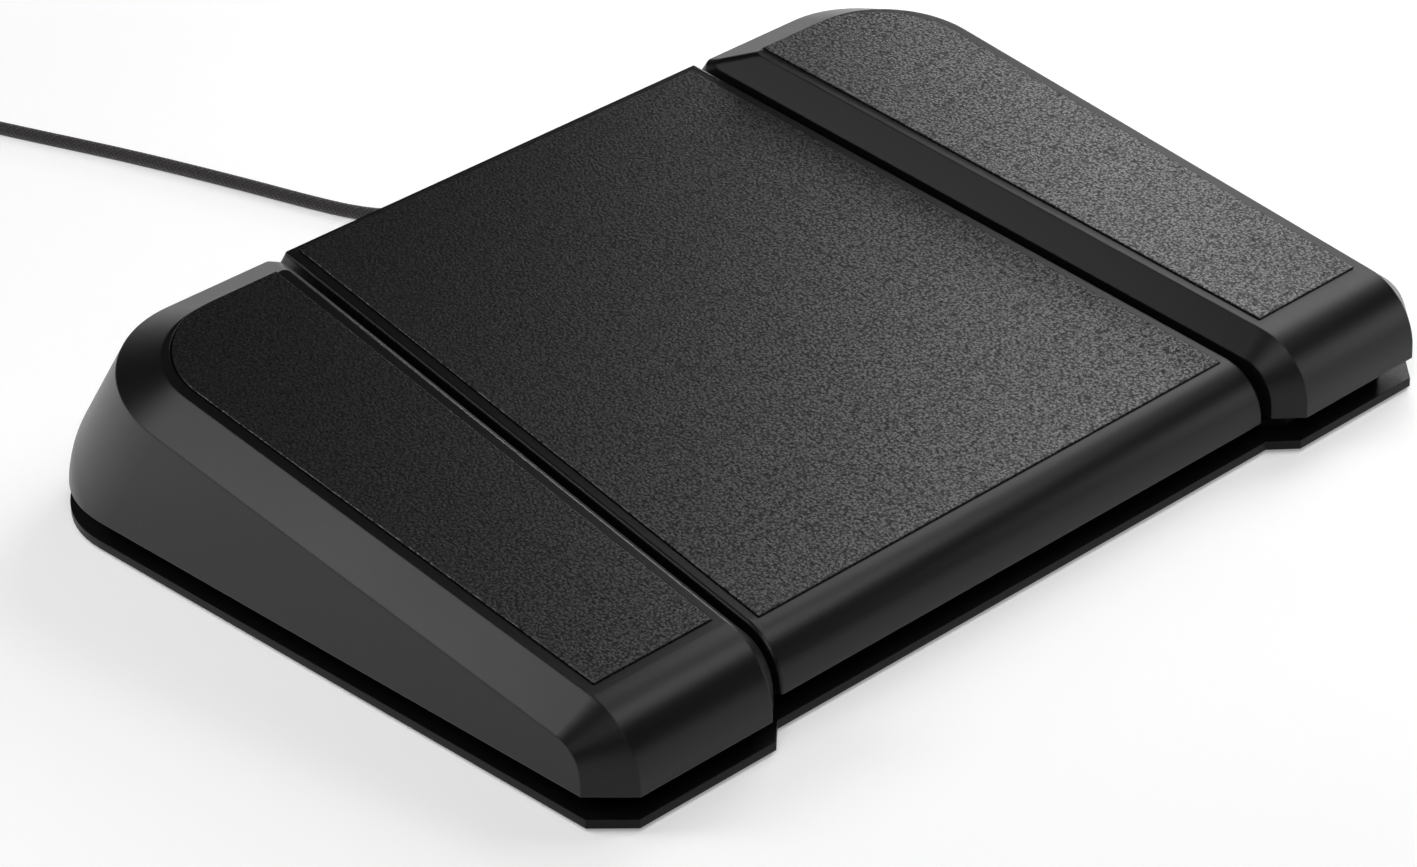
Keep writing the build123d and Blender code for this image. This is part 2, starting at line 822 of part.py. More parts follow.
# Chassis: floor, rim, hinge towers, spring posts, stop brackets and screw bosses
rim_top = plate_top + rim_height
cord_block_front = overall_depth - chassis_inset - rim_thickness - relief_block_length
with BuildPart() as chassis:
    extrude(lip_outline(Plane.XY.offset(plate_top), chassis_inset), amount=chassis_floor)
    extrude(lip_outline(Plane.XY.offset(plate_top), chassis_inset), amount=rim_height)
    inner = lip_outline(Plane.XY.offset(floor_top), chassis_inset + rim_thickness)
    extrude(inner, amount=rim_height, mode=Mode.SUBTRACT)
    # Slots below the seams between the pedals, where their skirts come down
    for side in (-1, 1):
        seam_back = side * (middle_edge(overall_depth) + pedal_gap / 2)
        seam_mid = side * (middle_edge(seam_slot_depth) + pedal_gap / 2)
        seam_front = side * (middle_edge(0) + pedal_gap / 2)
        half = seam_slot_width / 2
        with BuildSketch(Plane.XY.offset(plate_top)):
            with BuildLine():
                Polyline(
                    (seam_mid - half, depth(seam_slot_depth)),
                    (seam_mid + half, depth(seam_slot_depth)),
                    (seam_back + half, depth(overall_depth)),
                    (seam_back - half, depth(overall_depth)),
                    close=True,
                )
            make_face()
        extrude(amount=rim_height, mode=Mode.SUBTRACT)
        with BuildSketch(Plane.XY.offset(floor_top)):
            with Locations((seam_front, depth(0))):
                Rectangle(seam_slot_width, 2 * seam_front_reach)
        extrude(amount=rim_height, mode=Mode.SUBTRACT)
    # Hinge towers on both sides of each pedal's lugs
    tower_step = lug_width / 2 + lug_tower_gap + tower_width / 2
    for tower_x in tower_places(tower_step):
        tower = hinge_cheek(
            tower_x, tower_width, tower_radius, pin_radius, plate_top + chassis_floor / 2,
            tower_radius,
        )
        extrude(tower, amount=tower_width)
    for centre_x in (-side_back_x, 0, side_back_x):
        # Spring post with its spigot
        with BuildSketch(Plane.XY.offset(floor_top)):
            with Locations((centre_x, depth(spring_depth))):
                Circle(spring_post_radius)
        extrude(amount=spring_seat_height - floor_top)
        with BuildSketch(Plane.XY.offset(spring_seat_height)):
            with Locations((centre_x, depth(spring_depth))):
                Circle(spring_spigot_radius)
        extrude(amount=spring_spigot_length)
        # Bracket that the stop screw hangs through
        bracket_half = bracket_inner_half + bracket_leg
        with BuildSketch(Plane.XZ.offset(-depth(stop_depth) - bracket_half_depth)):
            with Locations((centre_x, (floor_top + bracket_bottom + bracket_thickness) / 2)):
                Rectangle(2 * bracket_half, bracket_bottom + bracket_thickness - floor_top)
            with Locations((centre_x, (floor_top + bracket_bottom) / 2)):
                Rectangle(
                    2 * bracket_inner_half, bracket_bottom - floor_top, mode=Mode.SUBTRACT
                )
        extrude(amount=2 * bracket_half_depth)
        with BuildSketch(Plane.XY.offset(bracket_bottom)):
            with Locations((centre_x, depth(stop_depth))):
                Circle(stop_hole_radius)
        extrude(amount=bracket_thickness, mode=Mode.SUBTRACT)
    # Posts under the bump stops
    with BuildSketch(Plane.XY.offset(floor_top)):
        with Locations(*bumper_places):
            Circle(bumper_post_radius)
    extrude(amount=bumper_top - bumper_height - floor_top)
    # Bosses for the screws from below, and low pads under the circuit board
    with BuildSketch(Plane.XY.offset(floor_top)):
        with Locations(*all_screws):
            Circle(screw_boss_radius)
    extrude(amount=screw_boss_height)
    with BuildSketch(Plane.XY.offset(plate_top)):
        with Locations(*all_screws):
            Circle(screw_radius)
    extrude(amount=foot_height + screw_length - plate_top, mode=Mode.SUBTRACT)
    with BuildSketch(Plane.XY.offset(floor_top)):
        with Locations(*board_screw_places):
            Circle(board_pad_radius)
    extrude(amount=board_standoff)
    with BuildSketch(Plane.XY.offset(plate_top)):
        with Locations(*board_screw_places):
            Circle(board_screw_radius)
    extrude(amount=board_bottom - plate_top, mode=Mode.SUBTRACT)
    # Block that holds the cord's relief, open at the top to lay it in
    with BuildSketch(Plane.XY.offset(floor_top)):
        with Locations((cord_x, depth(cord_block_front + relief_block_length / 2))):
            Rectangle(2 * relief_block_half, relief_block_length)
    extrude(amount=relief_block_height)
    collar_back = cord_block_front + relief_stop_length + relief_collar_length
    with BuildSketch(Plane.XZ.offset(-depth(collar_back))):
        with Locations((cord_x, cord_z)):
            Circle(relief_collar_radius)
        with Locations((cord_x, cord_z + relief_block_height / 2)):
            Rectangle(2 * relief_collar_radius, relief_block_height)
    extrude(amount=relief_collar_length, mode=Mode.SUBTRACT)
    with BuildSketch(Plane.XZ.offset(-depth(overall_depth - chassis_inset) - cut)):
        with Locations((cord_x, cord_z)):
            Circle(relief_neck_radius)
        with Locations((cord_x, cord_z + relief_block_height / 2)):
            Rectangle(2 * relief_neck_radius, relief_block_height)
    extrude(amount=overall_depth - chassis_inset + cut - cord_block_front, mode=Mode.SUBTRACT)
chassis.part.label = "chassis"
export_step(chassis.part, "parts/chassis.step")

# Countersunk screws from below
with BuildPart() as plate_screws:
    for x, y in all_screws:
        with Locations((x, y, foot_height + screw_cone / 2)):
            Cone(screw_head_radius, screw_radius, screw_cone)
        with Locations((x, y, foot_height + (screw_cone + screw_length) / 2)):
            Cylinder(screw_radius, screw_length - screw_cone)
        with Locations((x, y, foot_height)):
            Box(
                screw_slot_length, screw_slot_width, 2 * screw_slot_depth, mode=Mode.SUBTRACT
            )
            Box(
                screw_slot_width, screw_slot_length, 2 * screw_slot_depth, mode=Mode.SUBTRACT
            )
plate_screws.part.label = "plate_screws"
export_step(plate_screws.part, "parts/plate_screws.step")

# Rubber feet stuck under the plate
with BuildPart() as rubber_feet:
    with BuildSketch():
        with Locations(*foot_places):
            Circle(foot_radius)
    extrude(amount=foot_height)
    foot_faces = rubber_feet.faces().filter_by(Axis.Z).group_by(Axis.Z)[0]
    chamfer(foot_faces.edges(), length=foot_chamfer)
rubber_feet.part.label = "rubber_feet"
export_step(rubber_feet.part, "parts/rubber_feet.step")

# Hinge pins, pressed into the towers
side_pin_half = side_lug_offset + tower_step + tower_width / 2 + pin_overhang
middle_pin_half = middle_lug_offset + tower_step + tower_width / 2 + pin_overhang
with BuildPart() as side_hinge_pins:
    for side in (-1, 1):
        with BuildSketch(Plane.YZ.offset(side * side_centre_x - side_pin_half)):
            with Locations((hinge_y, hinge_height)):
                Circle(pin_radius)
        extrude(amount=2 * side_pin_half)
side_hinge_pins.part.label = "side_hinge_pins"
export_step(side_hinge_pins.part, "parts/side_hinge_pins.step")

with BuildPart() as middle_hinge_pin:
    with BuildSketch(Plane.YZ.offset(-middle_pin_half)):
        with Locations((hinge_y, hinge_height)):
            Circle(pin_radius)
    extrude(amount=2 * middle_pin_half)
middle_hinge_pin.part.label = "middle_hinge_pin"
export_step(middle_hinge_pin.part, "parts/middle_hinge_pin.step")

# Rubber bump stops on their posts
with BuildPart() as bump_stops:
    with BuildSketch(Plane.XY.offset(bumper_top - bumper_height)):
        with Locations(*bumper_places):
            Circle(bumper_radius)
    extrude(amount=bumper_height)
bump_stops.part.label = "bump_stops"
export_step(bump_stops.part, "parts/bump_stops.step")

# Circuit board with its switches
with BuildPart() as circuit_board:
    with BuildSketch(Plane.XY.offset(board_bottom)):
        with Locations((0, depth(board_front_depth + board_width_y / 2))):
            Rectangle(board_length_x, board_width_y)
        with Locations(*board_screw_places):
            Circle(board_screw_radius, mode=Mode.SUBTRACT)
    extrude(amount=board_thickness)
circuit_board.part.label = "circuit_board"
export_step(circuit_board.part, "parts/circuit_board.step")

with BuildPart() as board_screws:
    with BuildSketch(Plane.XY.offset(plate_top)):
        with Locations(*board_screw_places):
            Circle(board_screw_radius)
    extrude(amount=board_top - plate_top)
    with BuildSketch(Plane.XY.offset(board_top)):
        with Locations(*board_screw_places):
            Circle(board_screw_head_radius)
    extrude(amount=board_screw_head)
board_screws.part.label = "board_screws"
export_step(board_screws.part, "parts/board_screws.step")

with BuildPart() as switch_bodies:
    for switch_x in (-side_centre_x, 0, side_centre_x):
        with BuildSketch(Plane.XY.offset(board_top)):
            with Locations((switch_x, depth(switch_depth))):
                Rectangle(switch_width, switch_length)
        extrude(amount=switch_height)
        with BuildSketch(Plane.XY.offset(switch_top)):
            with Locations((switch_x, depth(switch_depth))):
                Rectangle(
                    plunger_width + 2 * plunger_side_gap, plunger_length + 2 * plunger_side_gap
                )
        extrude(amount=-plunger_bore_depth, mode=Mode.SUBTRACT)
switch_bodies.part.label = "switch_bodies"
export_step(switch_bodies.part, "parts/switch_bodies.step")

plunger_size = plunger_proud + plunger_inside
with BuildPart() as middle_plunger:
    with BuildSketch(Plane.XY.offset(switch_top - plunger_inside)):
        with Locations((0, depth(switch_depth))):
            Rectangle(plunger_width, plunger_length)
    extrude(amount=plunger_size)
middle_plunger.part.label = "middle_plunger"
export_step(middle_plunger.part, "parts/middle_plunger.step")

with BuildPart() as right_plunger:
    add(middle_plunger.part.moved(Location((side_centre_x, 0, 0))))
right_plunger.part.label = "right_plunger"
export_step(right_plunger.part, "parts/right_plunger.step")

with BuildPart() as left_plunger:
    add(middle_plunger.part.moved(Location((-side_centre_x, 0, 0))))
left_plunger.part.label = "left_plunger"
export_step(left_plunger.part, "parts/left_plunger.step")

with BuildPart() as controller_chip:
    with BuildSketch(Plane.XY.offset(board_top)):
        with Locations((chip_x, depth(board_front_depth + board_width_y / 2))):
            Rectangle(chip_size, chip_size)
    extrude(amount=chip_height)
controller_chip.part.label = "controller_chip"
export_step(controller_chip.part, "parts/controller_chip.step")

header_back = board_back_depth - header_setback
header_z = board_top + header_height / 2
with BuildPart() as cord_header:
    with BuildSketch(Plane.XY.offset(board_top)):
        with Locations((cord_x, depth(header_back - header_width / 2))):
            Rectangle(header_length, header_width)
    extrude(amount=header_height)
cord_header.part.label = "cord_header"
export_step(cord_header.part, "parts/cord_header.step")

# Springs under the pedals, one unbroken coil each
spring_wire_z = spring_seat_height + spring_wire_radius
spring_rise = spring_length - 2 * spring_wire_radius
spring_pitch = spring_rise / spring_turns
with BuildPart() as middle_spring:
    with BuildLine(Plane.XY.offset(spring_wire_z)):
        Helix(spring_pitch, spring_rise, spring_radius, center=(0, depth(spring_depth), 0))
    wire_plane = Plane(
        origin=(spring_radius, depth(spring_depth), spring_wire_z),
        z_dir=(0, 2 * pi * spring_radius, spring_pitch),
    )
    with BuildSketch(wire_plane):
        Circle(spring_wire_radius)
    sweep()
middle_spring.part.label = "middle_spring"
export_step(middle_spring.part, "parts/middle_spring.step")

with BuildPart() as right_spring:
    add(middle_spring.part.moved(Location((side_back_x, 0, 0))))
right_spring.part.label = "right_spring"
export_step(right_spring.part, "parts/right_spring.step")

with BuildPart() as left_spring:
    add(middle_spring.part.moved(Location((-side_back_x, 0, 0))))
left_spring.part.label = "left_spring"
export_step(left_spring.part, "parts/left_spring.step")

# Shouldered stop screws, one under each pedal
stop_head_top = bracket_bottom - stop_slack
with BuildPart() as middle_stop_screw:
    with BuildSketch(Plane.XY.offset(stop_head_top)):
        with Locations((0, depth(stop_depth))):
            Circle(stop_head_radius)
    extrude(amount=-stop_head_height)
    with BuildSketch(Plane.XY.offset(stop_head_top)):
        with Locations((0, depth(stop_depth))):
            Circle(stop_shank_radius)
    extrude(amount=stop_boss_height + stop_screw_grip - stop_head_top)
middle_stop_screw.part.label = "middle_stop_screw"
export_step(middle_stop_screw.part, "parts/middle_stop_screw.step")

with BuildPart() as right_stop_screw:
    add(middle_stop_screw.part.moved(Location((side_back_x, 0, 0))))
right_stop_screw.part.label = "right_stop_screw"
export_step(right_stop_screw.part, "parts/right_stop_screw.step")

with BuildPart() as left_stop_screw:
    add(middle_stop_screw.part.moved(Location((-side_back_x, 0, 0))))
left_stop_screw.part.label = "left_stop_screw"
export_step(left_stop_screw.part, "parts/left_stop_screw.step")


def biarc(start, start_way, end, end_way):
    # Where two arcs meet that leave start and reach end along the given ways,
    # and the way they share there
    span = end - start
    ways = start_way + end_way
    spread = 2 * (1 - start_way.dot(end_way))
    along = span.dot(ways)
    reach = (sqrt(along * along + spread * span.dot(span)) - along) / spread
    near = start + start_way * reach
    far = end - end_way * reach
    return (near + far) * (1 / 2), (far - near).normalized()


def coil_radius(turn):
    # Radius after this many half turns: in, out, in and out again
    lap = (turn + 1 / 2) % (2 * coil_run)
    inward = min(lap, 2 * coil_run - lap) - 1 / 2
    return coil_outer_radius - inward * coil_pitch / 2


def coil_height(turn):
    # Level in each layer, with a smooth climb in the half turn between layers
    layer = min(int(turn // coil_run), coil_layers - 1)
    climb = min(max(turn - layer * coil_run - coil_layer_half_turns, 0), 1)
    if layer == coil_layers - 1:
        climb = 0
    rise = climb - sin(2 * pi * climb) / (2 * pi)
    return coil_bottom + (layer + rise) * coil_pitch


def coil_place(turn):
    angle = radians(coil_start_angle) + pi * turn
    radius = coil_radius(turn)
    return Vector(
        coil_x + radius * cos(angle), coil_y + radius * sin(angle), coil_height(turn)
    )


def coil_way(turn):
    # Direction of the wound cord, from two places close to this one
    near = coil_place(turn + coil_step_share) - coil_place(turn - coil_step_share)
    return near.normalized()


def level_way(turn):
    # Direction straight out of the coil where it starts and ends
    angle = radians(coil_start_angle) + pi * turn
    return Vector(-sin(angle), cos(angle), 0)


coil_pitch = cord_diameter + coil_turn_gap
coil_bottom = tie_thickness + tie_slack + cord_diameter / 2
coil_run = coil_layer_half_turns + 1
coil_last = coil_layers * coil_run - 2
coil_marks = list(range(coil_last + 1))
for layer in range(1, coil_layers):
    coil_marks.append(layer * coil_run - 1 / 2)
coil_marks.sort()
coil_places = [coil_place(turn) for turn in coil_marks]
coil_ways = [level_way(turn) if turn in (0, coil_last) else coil_way(turn) for turn in coil_marks]
coil_start = coil_places[0] - coil_ways[0] * cord_diameter
coil_end = coil_places[-1] + coil_ways[-1] * cord_diameter

# Relief, free cord, put-away coil, and the plug at the far end
relief_front = cord_block_front + relief_stop_length
relief_tip = Vector(cord_x, depth(overall_depth - chassis_inset + relief_length), cord_z)
neck_back = depth(overall_depth - chassis_inset)
collar_end = depth(relief_front + relief_collar_length)
with BuildPart() as strain_relief:
    with BuildSketch(Plane.XZ.offset(-depth(relief_front))):
        with Locations((cord_x, cord_z)):
            Circle(relief_collar_radius)
    extrude(amount=-relief_collar_length)
    with BuildSketch(Plane.XZ.offset(-collar_end)):
        with Locations((cord_x, cord_z)):
            Circle(relief_neck_radius)
    extrude(amount=-(neck_back - collar_end))
    with BuildSketch(Plane.XZ.offset(-neck_back)):
        with Locations((cord_x, cord_z)):
            Circle(relief_root_radius)
    with BuildSketch(Plane.XZ.offset(-relief_tip.Y)):
        with Locations((cord_x, cord_z)):
            Circle(relief_tip_radius)
    loft(ruled=True)
    for ring in range(relief_rings):
        ring_y = neck_back + relief_ring_start + ring * relief_ring_pitch
        with BuildSketch(Plane.XZ.offset(-ring_y)):
            with Locations((cord_x, cord_z)):
                Circle(relief_root_radius + cut)
                Circle(relief_ring_radius, mode=Mode.SUBTRACT)
        extrude(amount=-relief_ring_width, mode=Mode.SUBTRACT)
strain_relief.part.label = "strain_relief"
export_step(strain_relief.part, "parts/strain_relief.step")

cord_route = [
    tuple(relief_tip),
    (cord_x, relief_tip.Y + 7.0, cord_z),
    (16.8, 121.5, 5.0),
    (14.8, 128.5, 2.7),
    (11.8, 137.5, 1.65),
    (8.2, 149.5, 1.6),
    (2.9, 170.5, 1.6),
    (-5.4, 199.5, 1.6),
    (-16.4, 231.5, 1.6),
    tuple(coil_start - coil_ways[0] * 19.0),
    tuple(coil_start),
]
tail_start = depth(relief_front)
tail_end = depth(header_back)
tail_route = []
for along, risen in tail_route_shares:
    tail_y = tail_start + (tail_end - tail_start) * along
    tail_route.append((cord_x, tail_y, cord_z + (header_z - cord_z) * risen))


def bend_radii(points):
    # Each bend is as large as the runs beside it allow
    radii = []
    for before, here, after in zip(points, points[1:], points[2:]):
        into = Vector(*here) - Vector(*before)
        out = Vector(*after) - Vector(*here)
        turn = radians(into.get_angle(out))
        radii.append(bend_share * min(into.length, out.length) / tan(turn / 2))
    return radii


def cord_tube(points, name):
    # Round cord along straight runs joined by arcs
    radii = bend_radii(points)
    print(name, "bend radii", [round(value) for value in radii])
    first_way = Vector(*points[1]) - Vector(*points[0])
    with BuildPart() as tube:
        with BuildLine() as path:
            FilletPolyline(*points, radius=radii)
        with BuildSketch(Plane(origin=points[0], z_dir=first_way)):
            Circle(cord_diameter / 2)
        sweep(path=path.wire())
    length = path.wire().length
    area = pi * cord_diameter ** 2 / 4
    print(name, "length", round(length, 1), "volume", round(tube.part.volume / (area * length), 4))
    tube.part.label = name
    export_step(tube.part, "parts/" + name + ".step")
    return length


run_length = cord_tube(cord_route, "cord_run")
tail_length = cord_tube(tail_route, "cord_tail")

with BuildPart() as cord_coil:
    with BuildLine() as coil_path:
        Line(coil_start, coil_places[0])
        for number in range(len(coil_places) - 1):
            start = coil_places[number]
            end = coil_places[number + 1]
            joint, joint_way = biarc(start, coil_ways[number], end, coil_ways[number + 1])
            TangentArc(start, joint, tangent=coil_ways[number])
            TangentArc(joint, end, tangent=joint_way)
        Line(coil_places[-1], coil_end)
    with BuildSketch(Plane(origin=coil_start, z_dir=coil_ways[0])):
        Circle(cord_diameter / 2)
    sweep(path=coil_path.wire())
cord_coil.part.label = "cord_coil"
export_step(cord_coil.part, "parts/cord_coil.step")
coil_length = coil_path.wire().length
coil_area = pi * cord_diameter ** 2 / 4
print("cord_coil length", round(coil_length, 1),
      "volume", round(cord_coil.part.volume / (coil_area * coil_length), 4),
      "solids", len(cord_coil.solids()), "valid", cord_coil.part.is_valid)

# Least gap of the coil to itself, on points along its middle line
samples = []
sample_count = coil_last * coil_samples_per_half
for step in range(sample_count + 1):
    spot = coil_path.wire() @ (step / sample_count)
    samples.append((spot.X, spot.Y, spot.Z))
skip = coil_samples_per_half
least = min(
    sqrt((a[0] - b[0]) ** 2 + (a[1] - b[1]) ** 2 + (a[2] - b[2]) ** 2)
    for i, a in enumerate(samples) for b in samples[i + skip:]
)
print("cord_coil least gap to itself", round(least - cord_diameter, 2))

# Far end of the cord, down from the coil to the plug on the floor
out_way = coil_ways[-1]
side_way = Vector(-out_way.Y, out_way.X, 0)
end_rise = coil_end.Z
plug_z = plug_height / 2
end_route = [tuple(coil_end)]
for ahead, aside, level_share in cord_end_route:
    spot = coil_end + out_way * ahead + side_way * aside
    end_route.append((spot.X, spot.Y, plug_z + (end_rise - plug_z) * level_share))
end_length = cord_tube(end_route, "cord_end")
plug_start = Vector(*end_route[-1])
plug_way = (plug_start - Vector(*end_route[-2])).normalized()
plug_across = Vector(plug_way.Y, -plug_way.X, 0).normalized()


def plug_plane(ahead):
    return Plane(
        origin=plug_start + plug_way * ahead, x_dir=plug_across, z_dir=plug_way
    )


with BuildPart() as plug_body:
    with BuildSketch(plug_plane(0)):
        Circle(plug_neck_radius)
    with BuildSketch(plug_plane(plug_neck_length)):
        Circle(plug_neck_radius + plug_neck_flare)
    loft(ruled=True)
    with BuildSketch(plug_plane(plug_neck_length)):
        RectangleRounded(plug_width, plug_height, plug_round)
    extrude(amount=plug_length)
plug_body.part.label = "plug_body"
export_step(plug_body.part, "parts/plug_body.step")

with BuildPart() as plug_shell:
    with BuildSketch(plug_plane(plug_neck_length + plug_length)):
        Rectangle(shell_width, shell_height)
        Rectangle(shell_width - 2 * shell_wall, shell_height - 2 * shell_wall, mode=Mode.SUBTRACT)
    extrude(amount=shell_length)
    with BuildSketch(plug_plane(plug_neck_length + plug_length)):
        with Locations((0, (shell_height - 2 * shell_wall - shell_tongue) / 2)):
            Rectangle(shell_width - 2 * shell_wall, shell_tongue)
    extrude(amount=shell_length - shell_tongue_back)
plug_shell.part.label = "plug_shell"
export_step(plug_shell.part, "parts/plug_shell.step")

# Strap round the coil's turns, a little wider inwards where they bend more
tie_angle = radians(coil_start_angle + tie_turn)
tie_inner = coil_radius(coil_layer_half_turns - 1 / 2) - cord_diameter / 2
tie_bow = tie_inner - sqrt(tie_inner ** 2 - (tie_width / 2) ** 2)
tie_near = tie_inner - tie_bow - tie_slack
tie_far = coil_radius(1 / 2) + cord_diameter / 2 + tie_slack
tie_room_height = (coil_layers - 1) * coil_pitch + cord_diameter + 2 * tie_slack
tie_reach = (tie_near + tie_far) / 2
tie_plane = Plane(
    origin=(
        coil_x + tie_reach * cos(tie_angle),
        coil_y + tie_reach * sin(tie_angle),
        tie_thickness + tie_room_height / 2,
    ),
    x_dir=(cos(tie_angle), sin(tie_angle), 0),
    z_dir=(sin(tie_angle), -cos(tie_angle), 0),
)
with BuildPart() as cord_tie:
    with BuildSketch(tie_plane):
        RectangleRounded(
            tie_far - tie_near + 2 * tie_thickness, tie_room_height + 2 * tie_thickness, tie_round
        )
        RectangleRounded(
            tie_far - tie_near, tie_room_height, tie_round - tie_thickness, mode=Mode.SUBTRACT
        )
    extrude(amount=tie_width / 2, both=True)
cord_tie.part.label = "cord_tie"
export_step(cord_tie.part, "parts/cord_tie.step")
print("cord in all", round(run_length + coil_length + end_length + tail_length))
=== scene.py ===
# %% [markdown]
# # A foot switch with three pedals
# The object is a flat desk peripheral for the feet: a wide pedal between two higher
# ones, on a thin plate, with a braided cord. Its pieces come from the packed model, at
# their real size. This lesson gives them their light, their camera and their finishes,
# and lays the cord, which is the one piece that is modelled here from its route.

import math

import bpy
from mathutils import Matrix, Vector


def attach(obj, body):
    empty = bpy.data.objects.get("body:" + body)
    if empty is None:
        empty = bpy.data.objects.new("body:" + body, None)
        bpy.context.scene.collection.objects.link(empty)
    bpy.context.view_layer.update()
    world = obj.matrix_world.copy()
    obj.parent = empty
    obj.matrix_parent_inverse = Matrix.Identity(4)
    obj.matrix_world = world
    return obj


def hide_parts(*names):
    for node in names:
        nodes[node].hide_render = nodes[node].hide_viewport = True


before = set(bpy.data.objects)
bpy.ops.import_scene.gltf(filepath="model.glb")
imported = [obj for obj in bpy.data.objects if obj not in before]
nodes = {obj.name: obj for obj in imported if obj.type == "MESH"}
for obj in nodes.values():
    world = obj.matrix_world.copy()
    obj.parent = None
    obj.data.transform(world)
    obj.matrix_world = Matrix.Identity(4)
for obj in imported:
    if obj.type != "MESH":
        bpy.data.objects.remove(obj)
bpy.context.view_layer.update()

# %% [markdown]
# ## The camera
# The photograph was taken from the front left, a little over a metre away, with a long
# lens. Its place, its three turns and its focal length were fitted to the edges of the
# plate, the shells and the pads, so they are written here as found. The camera's own
# axes are built from the three turns: sideways, upward, and back towards the viewer.

# %% Place the camera
photo_width = 1417
sensor_width = 36.0
focal_in_pixels = 5045.09
camera_place = Vector((-0.62959, -0.67599, 0.54137))
camera_azimuth = math.radians(-42.6495)
camera_elevation = math.radians(30.2674)
camera_roll = math.radians(-2.4697)

back = Vector((
    math.sin(camera_azimuth) * math.cos(camera_elevation),
    -math.cos(camera_azimuth) * math.cos(camera_elevation),
    math.sin(camera_elevation),
))
level = Vector((math.cos(camera_azimuth), math.sin(camera_azimuth), 0))
upright = back.cross(level)
sideways = level * math.cos(camera_roll) + upright * math.sin(camera_roll)
upward = upright * math.cos(camera_roll) - level * math.sin(camera_roll)

lens = bpy.data.cameras.new("photo_camera")
lens.sensor_width = sensor_width
lens.lens = focal_in_pixels * sensor_width / photo_width
camera = bpy.data.objects.new("photo_camera", lens)
bpy.context.scene.collection.objects.link(camera)
turned = Matrix((sideways, upward, back)).transposed().to_4x4()
camera.matrix_world = Matrix.Translation(camera_place) @ turned
bpy.context.scene.camera = camera
print("lens", round(lens.lens, 1), "mm")

# %% [markdown]
# ## The cord's route
# The cord leaves its strain relief straight, drops to the floor within a few
# centimetres, and runs off to the left of the picture in one lazy bend. What the
# picture doesn't show of its two metres is wound in a round coil that lies outside the
# view. A NURBS spline of order three is a natural line for it, because the spline
# rounds every corner of its control points as a springy cord does. The coil's points
# come from a formula: the turns wind in, climb, wind out, and climb again.

# %% Points of the route
cord_diameter = 0.0032
cord_exit = Vector((0.0175, 0.1075, 0.00656))
free_points = [
    cord_exit,
    Vector((0.0175, 0.1145, 0.00656)),
    Vector((0.0168, 0.1215, 0.0050)),
    Vector((0.0148, 0.1285, 0.0027)),
    Vector((0.0118, 0.1375, 0.00165)),
    Vector((0.0082, 0.1495, 0.0016)),
    Vector((0.0029, 0.1705, 0.0016)),
    Vector((-0.0054, 0.1995, 0.0016)),
    Vector((-0.0164, 0.2315, 0.0016)),
]
coil_centre = Vector((-0.062, 0.268, 0.00295))
coil_outer_radius = 0.0242
coil_pitch = cord_diameter + 0.00045
coil_start_angle = math.radians(37.0)
coil_layers = 4
coil_layer_half_turns = 7
coil_lap = coil_layer_half_turns + 1
coil_last = coil_layers * coil_lap - 2
coil_lead = 0.019
coil_steps = 8


def coil_radius(turn):
    """Radius after this many half turns: in, out, in and out again."""
    place = (turn + 1 / 2) % (2 * coil_lap)
    inward = min(place, 2 * coil_lap - place) - 1 / 2
    return coil_outer_radius - inward * coil_pitch / 2


def coil_rise(turn):
    """Height over the lowest layer, with a smooth climb between two layers."""
    layer = min(int(turn // coil_lap), coil_layers - 1)
    climb = 0
    if layer < coil_layers - 1:
        climb = min(max(turn - layer * coil_lap - coil_layer_half_turns, 0), 1)
    return (layer + climb - math.sin(2 * math.pi * climb) / (2 * math.pi)) * coil_pitch


def coil_point(turn, spread=1.0):
    """A point of the coil; spread draws it out from the coil's middle."""
    angle = coil_start_angle + math.pi * turn
    radius = coil_radius(turn) * spread
    return coil_centre + Vector(
        (radius * math.cos(angle), radius * math.sin(angle), coil_rise(turn))
    )


def coil_heading(turn):
    """Level direction in which the coil is wound at this place."""
    angle = coil_start_angle + math.pi * turn
    return Vector((-math.sin(angle), math.cos(angle), 0))


print("half turns in the coil:", coil_last)

# %% [markdown]
# ## From points to a line
# A quadratic spline runs inside its control points, so the coil's points stand a
# little further out than its turns, by the amount that the spline cuts in. The order
# and the endpoint setting are given after the points, because before them they have
# nothing to act on.

# %% Make the route's spline
step_angle = math.pi / coil_steps
coil_spread = 1 / (3 / 4 + math.cos(step_angle) / 4)
coil_start = coil_point(0) - coil_heading(0) * cord_diameter
coil_end = coil_point(coil_last) + coil_heading(coil_last) * cord_diameter
wound = [
    coil_point(step / coil_steps, coil_spread)
    for step in range(1, coil_last * coil_steps)
]

# Ahead of the coil's end, aside, and the share of the drop to the plug that is left
plug_height = 0.0078
far_steps = [
    (0.009, 0.0, 1.0), (0.018, 0.0006, 0.85), (0.028, 0.0022, 0.42),
    (0.038, 0.0042, 0.08), (0.047, 0.0067, 0.0), (0.055, 0.0094, 0.0),
]
out_way = coil_heading(coil_last)
aside_way = Vector((-out_way.y, out_way.x, 0))
far_points = []
for ahead, aside, share in far_steps:
    point = coil_end + out_way * ahead + aside_way * aside
    point.z = plug_height / 2 + (coil_end.z - plug_height / 2) * share
    far_points.append(point)

route = free_points + [coil_start - coil_heading(0) * coil_lead, coil_start]
route += wound + [coil_end] + far_points


def nurbs_line(name, points, resolution):
    """An open NURBS curve of order three with these control points."""
    curve = bpy.data.curves.new(name, "CURVE")
    curve.dimensions = "3D"
    curve.resolution_u = resolution
    spline = curve.splines.new("NURBS")
    spline.points.add(len(points) - 1)
    for place, point in zip(spline.points, points):
        place.co = (*point, 1)
    spline.order_u = 3
    spline.use_endpoint_u = True
    return curve


